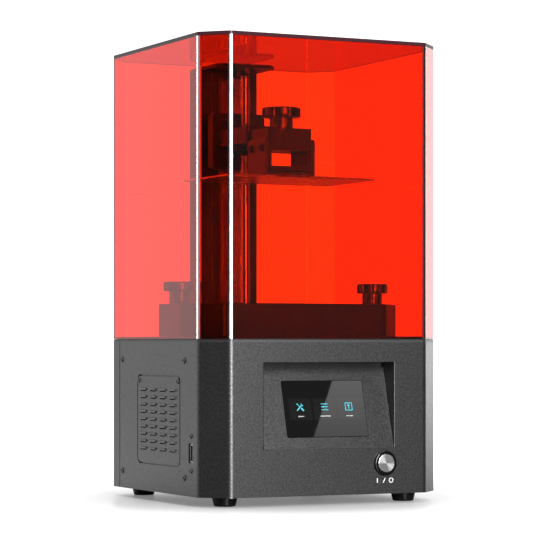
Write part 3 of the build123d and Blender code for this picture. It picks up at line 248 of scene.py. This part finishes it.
def acrylic(name, edge=None):
    """Clear cast acrylic, dyed orange-red in its mass, with a polish on the upright bends of its front half.

    With edge, upright faces take that colour, a painted shade: an opaque dark colour in place of the darkness
    that the long path through the dyed sheet gives a sawn edge."""
    mat, tree, bsdf = shader(name, (1, 1, 1), 0.0, IOR=1.49, Transmission_Weight=1.0)
    absorb = add(tree, "VolumeAbsorption", {"Color": ACRYLIC_ABSORBS, "Density": ACRYLIC_DENSITY})
    out = tree.nodes["Material Output"]
    tree.links.new(absorb.outputs["Volume"], out.inputs["Volume"])
    haze = noise(tree, place(tree), 30, 2)
    tree.links.new(ranged(tree, haze, 0.45, 0.8, 0, 0.006), bsdf.inputs["Roughness"])
    normal = add(tree, "NewGeometry").outputs["Normal"]
    if edge:
        # Painted shade: upright faces get an opaque dark colour.
        over = add(tree, "BsdfPrincipled", {"Base Color": edge, "Roughness": 0.2, "IOR": 1.3}).outputs["BSDF"]
        share = maths(tree, "LESS_THAN", maths(tree, "ABSOLUTE", axis_of(tree, normal, "Z")), 0.5)
    else:
        over = add(tree, "BsdfAnisotropic", {"Roughness": 0.12}).outputs["BSDF"]
        bearing = maths(tree, "ARCTAN2", axis_of(tree, normal, "Y"), axis_of(tree, normal, "X"))
        # The panes face every 45 degrees, so this wave is 0 on them and 1 halfway round a bend.
        wave = maths(tree, "SINE", maths(tree, "MULTIPLY", bearing, 4.0))
        front = maths(tree, "LESS_THAN", axis_of(tree, object_coords(tree), "Y"), 0.0)
        bend = maths(tree, "MULTIPLY", maths(tree, "ABSOLUTE", wave), front)
        share = ranged(tree, bend, 0.1, 0.4, 0, POLISH)
        tree.links.new(ranged(tree, bend, 0.1, 0.4, 0.5, 0), bsdf.inputs["Specular IOR Level"])
    mix = add(tree, "MixShader", {0: share, 1: bsdf.outputs["BSDF"], 2: over})
    tree.links.new(mix.outputs["Shader"], out.inputs["Surface"])
    return mat


def film(name):
    """Thin clear release film."""
    mat, tree, bsdf = shader(name, (0.9, 0.93, 0.95), 0.08, IOR=1.35, Alpha=0.25)
    ripple = noise(tree, place(tree), 90, 2)
    bumped(tree, bsdf, ripple, 0.1, 0.0002)
    return mat


def glow(name, colour, strength):
    """Lit marks of the display."""
    mat, tree, bsdf = shader(name, colour, 0.4)
    flicker = noise(tree, place(tree), 3000, 1)
    lit = blended(tree, flicker, rgba(colour, 0.85), rgba(colour, 1.1))
    tree.links.new(lit, bsdf.inputs["Emission Color"])
    bsdf.inputs["Emission Strength"].default_value = strength
    return mat


def board(name, colour):
    """Circuit board with a faint pattern of tracks under its mask."""
    mat, tree, bsdf = shader(name, colour, 0.35, Coat_Weight=0.3)
    tracks = add(tree, "TexBrick", {"Vector": place(tree, (0, 1, 1)), "Scale": 90.0, "Mortar Size": 0.03,
                                    "Color1": rgba(colour), "Color2": rgba(colour, 1.15),
                                    "Mortar": rgba(colour, 2.2)})
    tree.links.new(tracks.outputs["Color"], bsdf.inputs["Base Color"])
    return mat


CHARCOAL = (0.009, 0.0091, 0.0093)
BLACK = (0.012, 0.012, 0.013)
STEEL = (0.62, 0.62, 0.63)
CAP_CENTRE = (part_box("button_cap")[0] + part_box("button_cap")[1]) / 2

housing = powder_coat("housing_coat", CHARCOAL)
vents = powder_coat("vent_coat", CHARCOAL)
satin_black = powder_coat("satin_black_coat", (0.018, 0.018, 0.02), 0.45, 0.3)
black_plastic = moulded("black_plastic", BLACK, 0.45)
knob_plastic = moulded("knob_plastic", (0.035, 0.035, 0.036), 0.26, 1500, 0.08)
rubber = moulded("foot_rubber", (0.01, 0.01, 0.01), 0.24, 1500, 0.06)
black_alloy = blasted("black_alloy", (0.042, 0.042, 0.046), 0.38, 0.6)
bright_steel = brushed("bright_steel", STEEL, 0.25)
black_oxide = blasted("black_oxide", (0.045, 0.045, 0.048), 0.32, 0.9)
GLASS_LOW, GLASS_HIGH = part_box("touch_glass")

FINISHES = {
    "front_shell": housing, "rear_shell": housing, "screen_panel": housing,
    "vent_plate_left": vents, "vent_plate_right": vents,
    "bottom_plate": satin_black, "deck_plate": satin_black, "top_plate": satin_black,
    "level_bracket": satin_black, "film_ring": satin_black,
    "rubber_feet": rubber,
    "cover_rim": black_plastic, "screen_recess": black_plastic, "display_module": black_plastic,
    "button_switch": black_plastic, "power_jack": black_plastic, "limit_switch": black_plastic,
    "mainboard_parts": black_plastic, "fan_frame": black_plastic, "fan_rotor": black_plastic,
    "button_ring": gloss_black("button_gloss", (0.004, 0.004, 0.004), 0.1, 0.0),
    "touch_glass": display_glass("screen_glass", (0.006, 0.006, 0.0065), GLASS_LOW.z, GLASS_HIGH.z),
    "lcd_panel": gloss_black("lcd_glass", (0.006, 0.006, 0.009), 0.05, 0.4),
    "button_cap": spun("button_metal", (0.66, 0.66, 0.67), 0.22, CAP_CENTRE),
    "usb_port": brushed("port_metal", (0.4, 0.4, 0.41), 0.36, (1, 1, 0.1)),
    "foot_screws": bright_steel, "carriage_screws": black_oxide, "level_screws": black_oxide,
    "housing_screws": powder_coat("screw_coat", (0.02, 0.02, 0.021), 0.4, 0.2, 0.1),
    "z_column": brushed("column_alloy", (0.06, 0.06, 0.066), 0.38, (1, 1, 0.02), 0.6),
    "z_rail": brushed("rail_steel", (0.8, 0.8, 0.81), 0.14, (1, 1, 0.02), 1.0, 0.04),
    "z_motor": brushed("motor_body", (0.03, 0.03, 0.033), 0.4, (1, 1, 0.2), 0.6),
    "top_bearing": black_alloy, "rail_block": blasted("block_steel", (0.3, 0.3, 0.31), 0.3, 1.0),
    "shaft_coupler": brushed("coupler_alloy", (0.6, 0.6, 0.62), 0.28, (0.2, 0.2, 1)),
    "lead_screw": brushed("screw_steel", (0.62, 0.6, 0.55), 0.09, (0.3, 0.3, 1), 1.0, 0.02),
    "drive_nut": black_plastic,
    "carriage_plate": black_alloy, "platform_arm": black_alloy, "platform_block": black_alloy,
    "vat_tray": blasted("vat_alloy", (0.036, 0.036, 0.04), 0.36, 0.5),
    "lcd_frame": black_alloy,
    "build_plate": blasted("build_alloy", (0.68, 0.68, 0.69), 0.27, 0.9, 1200, 0.12),
    "vat_film": film("film_plastic"),
    "uv_light_box": brushed("reflector", (0.8, 0.8, 0.82), 0.15, (1, 1, 0.05)),
    "uv_led_board": board("led_board", (0.7, 0.7, 0.68)),
    "uv_leds": gloss_black("led_lens", (0.7, 0.68, 0.8), 0.08),
    "uv_heatsink": blasted("heatsink", (0.05, 0.05, 0.055), 0.45, 0.7),
    "mainboard": board("circuit_board", (0.01, 0.09, 0.035)),
    "fan_guard": brushed("guard_wire", (0.7, 0.7, 0.72), 0.18, (1, 1, 1)),
    "platform_knob": knob_plastic, "vat_knob_left": knob_plastic, "vat_knob_right": knob_plastic,
    "platform_stud": bright_steel, "vat_stud_left": bright_steel, "vat_stud_right": bright_steel,
    "cover_shell": acrylic("cover_acrylic"),
    # The top's colour is painted shade for its upright edges.
    "cover_top": acrylic("cover_top_acrylic", (0.05, 0.015, 0.02, 1)),
}
FINISHES["vent_screws"] = FINISHES["housing_screws"]
FINISHES["deck_screws"] = FINISHES["housing_screws"]


def finish(obj, mat):
    obj.data.materials.clear()
    obj.data.materials.append(mat)


for name, obj in NODES.items():
    finish(obj, FINISHES[name])


# ---- pieces -------------------------------------------------------------------------------
def piece(name, vertices, faces, mat, body, slot, smooth=False):
    """A mesh piece that rides on a body and wears the given material; slot is not used."""
    mesh = bpy.data.meshes.new(name)
    mesh.from_pydata([tuple(v) for v in vertices], [], faces)
    mesh.update()
    if smooth:
        mesh.shade_smooth()
    obj = bpy.data.objects.new(name, mesh)
    bpy.context.scene.collection.objects.link(obj)
    finish(obj, mat)
    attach(obj, body)
    return obj


def joined(*shapes):
    """One vertex list and one face list from several."""
    vertices, faces = [], []
    for points, polygons in shapes:
        start = len(vertices)
        vertices += points
        faces += [tuple(start + i for i in polygon) for polygon in polygons]
    return vertices, faces


def prism(outline, low, high, to_world):
    """A flat outline pushed from low to high along the third axis; to_world places each point."""
    count = len(outline)
    points = [to_world(x, y, low) for x, y in outline] + [to_world(x, y, high) for x, y in outline]
    sides = [(i, (i + 1) % count, count + (i + 1) % count, count + i) for i in range(count)]
    return points, [tuple(reversed(range(count)))] + [tuple(range(count, 2 * count))] + sides


THREAD_ROOT = 0.16      # half width of the thread's flat root, in pitches
THREAD_FLANK = 0.14


def helix_rod(name, node, radius, depth, pitch, starts, body, slot, around=48, steps=8):
    """Replaces a plain CAD rod with one of the same size that has a real helical thread."""
    low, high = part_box(node)
    centre = (low + high) / 2
    rows = int((high.z - low.z) / pitch * steps)
    vertices, faces = [], []
    for row in range(rows + 1):
        z = low.z + (high.z - low.z) * row / rows
        for k in range(around):
            phase = ((z - low.z) / pitch - starts * k / around) % 1.0
            flank = min(1.0, max(0.0, (abs(phase - 0.5) - THREAD_ROOT) / THREAD_FLANK))
            r = radius - depth * (1 - flank)
            angle = 2 * pi * k / around
            vertices.append((centre.x + r * cos(angle), centre.y + r * sin(angle), z))
    for row in range(rows):
        for k in range(around):
            a = row * around + k
            b = row * around + (k + 1) % around
            faces.append((a, b, b + around, a + around))
    faces.append(tuple(reversed(range(around))))
    faces.append(tuple(rows * around + k for k in range(around)))
    rod = piece(name, vertices, faces, FINISHES[node], body, slot, smooth=True)
    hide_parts(node)


helix_rod("lead_screw_thread", "lead_screw", 4.0 * MM, 1.0 * MM, 2.0 * MM, 2, "lead_screw", "screw_steel")

# ---- display and markings -----------------------------------------------------------------
SCREEN_RUN = 18.4 * MM
SCREEN_RISE = 67.1 * MM
SLOPE = atan2(SCREEN_RUN, SCREEN_RISE)
GLASS_UP = Vector((0, sin(SLOPE), cos(SLOPE)))
GLASS_OUT = Vector((0, -cos(SLOPE), sin(SLOPE)))
GLASS_POINTS = [NODES["touch_glass"].matrix_world @ v.co for v in NODES["touch_glass"].data.vertices]
GLASS_FACE = max(point.dot(GLASS_OUT) for point in GLASS_POINTS)
GLASS_EDGE = min(point.dot(GLASS_UP) for point in GLASS_POINTS)


def on_glass(x, v, lift):
    """A point on the display: x across, v up the slope from the glass's lower edge, lift off its face."""
    return Vector((x, 0, 0)) + GLASS_UP * (GLASS_EDGE + v) + GLASS_OUT * (GLASS_FACE + lift)


def mark(name, outlines, mat, slot, low=0.01 * MM, high=0.05 * MM):
    """Flat marks printed on the display."""
    shapes = [prism(outline, low, high, on_glass) for outline in outlines]
    return piece(name, *joined(*shapes), mat, "base", slot)


def bar(x0, y0, x1, y1, width):
    """A straight stroke between two points, as an outline."""
    along = Vector((x1 - x0, y1 - y0)).normalized()
    across = Vector((-along.y, along.x)) * width / 2
    a, b = Vector((x0, y0)), Vector((x1, y1))
    return [tuple(a + across), tuple(a - across), tuple(b - across), tuple(b + across)]


def rounded(cx, cy, w, h, r, steps=5):
    """A rounded rectangle's outline."""
    points = []
    for qx, qy, start in ((1, 1, 0), (-1, 1, 90), (-1, -1, 180), (1, -1, 270)):
        for k in range(steps + 1):
            a = radians(start + 90 * k / steps)
            points.append((cx + qx * (w / 2 - r) + r * cos(a), cy + qy * (h / 2 - r) + r * sin(a)))
    return points


TILE_X = [-22.9 * MM, -0.3 * MM, 22.3 * MM]
TILE_V = 23.8 * MM
TILE_SIZE = (20.6 * MM, 18.0 * MM)
ICON_V = 25.7 * MM
LABEL_V = 17.8 * MM
tile_mat = display_glass("display_tile", (0.0095, 0.01, 0.0095), GLASS_LOW.z, GLASS_HIGH.z)
icon_mat = glow("display_icon", (0.05, 0.42, 0.52), 0.3)
label_mat = glow("display_label", (0.5, 0.52, 0.54), 0.09)
tiles = [rounded(x, TILE_V, *TILE_SIZE, 1 * MM) for x in TILE_X]
mark("display_tiles", tiles, tile_mat, "screen_glass", 0.005 * MM, 0.02 * MM)


def tool_icon(cx, cy, s):
    """A spanner and a screwdriver, crossed."""
    spanner = [bar(cx - s, cy - s, cx + 0.55 * s, cy + 0.55 * s, 0.3 * s),
               bar(cx + 0.35 * s, cy + 0.95 * s, cx + 0.5 * s, cy + 0.45 * s, 0.24 * s),
               bar(cx + 0.95 * s, cy + 0.35 * s, cx + 0.45 * s, cy + 0.5 * s, 0.24 * s)]
    driver = [bar(cx + s, cy - s, cx + 0.25 * s, cy - 0.25 * s, 0.42 * s),
              bar(cx - 0.15 * s, cy + 0.15 * s, cx - 0.75 * s, cy + 0.75 * s, 0.18 * s),
              bar(cx - 0.95 * s, cy + 0.7 * s, cx - 0.65 * s, cy + 0.95 * s, 0.26 * s)]
    return spanner + driver


def list_icon(cx, cy, s):
    """Three lines with sliders."""
    lines = []
    for k, knob in ((1, 0.45), (0, -0.4), (-1, 0.3)):
        y = cy + 0.8 * k * s
        lines.append(bar(cx - s, y, cx + s, y, 0.2 * s))
        lines.append(bar(cx + knob * s, y - 0.24 * s, cx + knob * s, y + 0.24 * s, 0.24 * s))
    return lines


def sheet_icon(cx, cy, s):
    """A framed page with an arrow."""
    edges = [((-1, -1), (1, -1)), ((1, -1), (1, 1)), ((1, 1), (-1, 1)), ((-1, 1), (-1, -1))]
    frame_lines = []
    for a, b in edges:
        frame_lines.append(bar(cx + a[0] * s, cy + a[1] * s, cx + b[0] * s, cy + b[1] * s, 0.18 * s))
    arrow = [bar(cx, cy - 0.6 * s, cx, cy + 0.6 * s, 0.24 * s),
             bar(cx - 0.4 * s, cy + 0.2 * s, cx, cy + 0.62 * s, 0.2 * s),
             bar(cx + 0.4 * s, cy + 0.2 * s, cx, cy + 0.62 * s, 0.2 * s)]
    return frame_lines + arrow


ICON = 3.1 * MM
ICONS = {"tools": tool_icon, "settings": list_icon, "files": sheet_icon}
for (icon_name, icon), x in zip(ICONS.items(), TILE_X):
    mark("display_icon_" + icon_name, icon(x, ICON_V, ICON), icon_mat, "screen_glass", 0.03 * MM, 0.06 * MM)

# Each label is a row of short bars, in millimetres, that stands in for a word.
LABEL_BARS = ((1.3, 1.0, 1.0, 0.5), (1.4, 1.2, 1.1, 0.8, 1.2, 1.5), (1.3, 0.7, 0.6, 1.2, 0.7))
labels = []
for x, widths in zip(TILE_X, LABEL_BARS):
    pen = x - sum(widths) * MM / 2 - 0.2 * MM * (len(widths) - 1)
    for width in widths:
        labels.append(bar(pen, LABEL_V, pen + width * MM, LABEL_V, 0.8 * MM))
        pen += width * MM + 0.4 * MM
mark("display_labels", labels, label_mat, "screen_glass", 0.03 * MM, 0.06 * MM)

FRONT_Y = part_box("front_shell")[0].y


def on_front(x, z, lift):
    return Vector((x, FRONT_Y - lift, z))


def printed(name, outlines, mat):
    shapes = [prism(outline, 0.0, 0.06 * MM, on_front) for outline in outlines]
    return piece(name, *joined(*shapes), mat, "base", "led_board")


def ring_strokes(cx, cy, r, width, steps=24):
    """A circle drawn as short strokes."""
    corners = []
    for k in range(steps + 1):
        a = radians(90 + 360 * k / steps)
        corners.append((cx + r * cos(a), cy + r * sin(a)))
    return [bar(*a, *b, width) for a, b in zip(corners, corners[1:])]


SIGN_Z = 19.2 * MM
SIGN_X = CAP_CENTRE.x
white_ink = moulded("white_ink", (0.8, 0.8, 0.8), 0.5)
sign = [bar(SIGN_X - 7.2 * MM, SIGN_Z - 1.9 * MM, SIGN_X - 7.2 * MM, SIGN_Z + 1.9 * MM, 0.85 * MM),
        bar(SIGN_X - 1.6 * MM, SIGN_Z - 2.0 * MM, SIGN_X + 0.2 * MM, SIGN_Z + 2.0 * MM, 0.7 * MM)]
sign += ring_strokes(SIGN_X + 5.8 * MM, SIGN_Z, 1.8 * MM, 0.75 * MM)
printed("power_marking", sign, white_ink)


# ---- floor, light and camera --------------------------------------------------------------
def seen_straight(tree):
    """1 for a ray from the camera, also through the hood, and 0 for one that something has scattered."""
    path = add(tree, "LightPath").outputs
    bounces = maths(tree, "ADD", path["Diffuse Depth"], path["Glossy Depth"])
    clean = maths(tree, "LESS_THAN", bounces, 0.5)
    passed = maths(tree, "MULTIPLY", path["Is Transmission Ray"], clean)
    return maths(tree, "MAXIMUM", path["Is Camera Ray"], passed)


WHITE_PAPER = rgba((0.93, 0.93, 0.93))
PAINTED_SHADOW_PAPER = rgba((0.525, 0.53, 0.53))
DARK_PAPER = rgba((0.06, 0.06, 0.06))


def stage_floor():
    """White paper that fades into the backdrop, with a painted shadow: near the object it is darker and glows
    less. Scattered rays find its front half grey.
    """
    mesh = bpy.data.meshes.new("floor")
    reach = 12.0
    mesh.from_pydata([(-reach, -reach, 0), (reach, -reach, 0), (reach, reach, 0), (-reach, reach, 0)], [],
                     [(0, 1, 2, 3)])
    floor = bpy.data.objects.new("floor", mesh)
    bpy.context.scene.collection.objects.link(floor)
    mat, tree, bsdf = shader("floor_paper", (0.93, 0.93, 0.93), 0.6)
    fibre = noise(tree, place(tree), 3, 2)
    tree.links.new(ranged(tree, fibre, 0.3, 0.7, 0.3, 0.36), bsdf.inputs["Roughness"])
    coords = object_coords(tree)
    behind = ranged(tree, axis_of(tree, coords, "Y"), -0.1, 0.2, 0, 1)
    seen = seen_straight(tree)
    distance = vector_maths(tree, "LENGTH", coords, out="Value")
    # Painted shadow: the paper darkens towards the object.
    sheet = blended(tree, ranged(tree, distance, 0.16, 0.26, 0, 1), PAINTED_SHADOW_PAPER, WHITE_PAPER)
    paper = blended(tree, maths(tree, "MAXIMUM", behind, seen), DARK_PAPER, sheet)
    tree.links.new(paper, bsdf.inputs["Base Color"])
    bsdf.inputs["Emission Color"].default_value = (1, 1, 1, 1)
    # Painted shadow: the glow seen straight on is weaker near the object.
    glow_with_painted_shadow = maths(tree, "MULTIPLY", seen, ranged(tree, distance, 0.12, 0.5, 0.19, 1.0))
    tree.links.new(glow_with_painted_shadow, bsdf.inputs["Emission Strength"])
    finish(floor, mat)


BACKDROP = 1.5
BACK_LIGHT = 1.0
FRONT_LIGHT = 0.04


def sky():
    """A studio, bright behind the object and dark in front. Straight or through the hood it looks white."""
    world = bpy.data.worlds.new("studio")
    world.use_nodes = True
    bpy.context.scene.world = world
    tree = world.node_tree
    toward = add(tree, "TexCoord").outputs["Generated"]
    light = ranged(tree, axis_of(tree, toward, "Y"), -0.2, 0.5, FRONT_LIGHT, BACK_LIGHT)
    strength = add(tree, "Mix", data_type="FLOAT")
    tree.links.new(seen_straight(tree), strength.inputs[0])
    tree.links.new(light, strength.inputs[2])
    strength.inputs[3].default_value = BACKDROP
    tree.links.new(strength.outputs[0], tree.nodes["Background"].inputs["Strength"])
    tree.nodes["Background"].inputs["Color"].default_value = (1, 1, 1, 1)


def panel(name, where, target, width, height, radiance, only=None, inside=False):
    """A rectangular lamp that faces target.

    Only is the objects it lights, and inside lets it shine through the hood."""
    lamp = bpy.data.lights.new(name, "AREA")
    lamp.shape = "RECTANGLE"
    lamp.size, lamp.size_y = width, height
    lamp.energy = 4.0 * radiance * width * height
    obj = bpy.data.objects.new(name, lamp)
    obj.location = where
    obj.rotation_euler = (Vector(target) - Vector(where)).to_track_quat("-Z", "Y").to_euler()
    obj.visible_camera = False
    obj.visible_transmission = inside
    bpy.context.scene.collection.objects.link(obj)
    if only:
        group = bpy.data.collections.new(name + "_receivers")
        for receiver in only:
            group.objects.link(receiver)
        obj.light_linking.receiver_collection = group
    return obj


# The camera was solved from the photo's view of the square base.
CAMERA_PLACE = (-0.9079, -1.8597, 0.1324)
CAMERA_HEADING = -26.3
CAMERA_LENS = 153.57
CAMERA_SHIFT = (-0.0048, 0.1154)


def camera():
    data = bpy.data.cameras.new("camera")
    data.sensor_width = 36.0
    data.lens = CAMERA_LENS
    data.shift_x, data.shift_y = CAMERA_SHIFT
    data.clip_end = 100.0
    obj = bpy.data.objects.new("camera", data)
    obj.location = CAMERA_PLACE
    obj.rotation_euler = (radians(90), 0, radians(CAMERA_HEADING))
    bpy.context.scene.collection.objects.link(obj)
    bpy.context.scene.camera = obj


stage_floor()
sky()
camera()
bpy.context.scene.view_settings.view_transform = "Standard"
cover = [NODES["cover_shell"]]
body = [obj for name, obj in NODES.items() if name not in ("cover_shell", "cover_top")]
display = [NODES["touch_glass"]] + [obj for obj in bpy.data.objects if obj.name.startswith("display_")]


def around(degrees, distance, height):
    """A place at an angle round the object, counted from +X."""
    return (distance * cos(radians(degrees)), distance * sin(radians(degrees)), height)


MIDDLE = (0, 0, 0.25)
RIGHT_BACK = (1.5, 0.74, 0.45)
BUTTON = (0.08, -0.11, 0.05)
panel("overhead", (0, -0.1, 1.7), (0, 0, 0.2), 1.5, 1.5, 2.4)
panel("front_strip", (-0.145, -1.85, 0.6), (-0.05, 0, 0.3), 0.5, 1.2, 23, inside=True)
panel("right_back", RIGHT_BACK, MIDDLE, 1.0, 1.2, 2.0, only=body)
panel("cap_sheen", around(-64, 1.8, 0.1), BUTTON, 0.8, 0.8, 1.8, only=[NODES["button_cap"]])
panel("right_hood", RIGHT_BACK, MIDDLE, 1.0, 1.2, 1.2, only=cover)
panel("edge_left", around(143, 1.7, 0.35), MIDDLE, 0.8, 1.2, 2.1, only=cover, inside=True)
panel("front_veil", around(-64, 1.9, 0.4), MIDDLE, 1.3, 1.2, 0.085, only=cover)
panel("edge_front", around(-111, 1.7, 0.35), MIDDLE, 0.6, 1.2, 2.9, only=cover)

# The display mirrors a lamp whose straight side crosses it at a slant.
SHEEN_PLACE = (0.8137, -1.2400, 0.6525)
SHEEN_AXES = (
    Vector((0.8389, 0.2278, -0.4951)),
    Vector((0.2863, 0.5890, 0.7562)),
    Vector((0.4635, -0.7755, 0.4286)),
)
sheen = panel("display_sheen", SHEEN_PLACE, (0, 0, 0), 0.30, 0.45, 1.9, only=display)
sheen.rotation_euler = Matrix(SHEEN_AXES).transposed().to_euler()
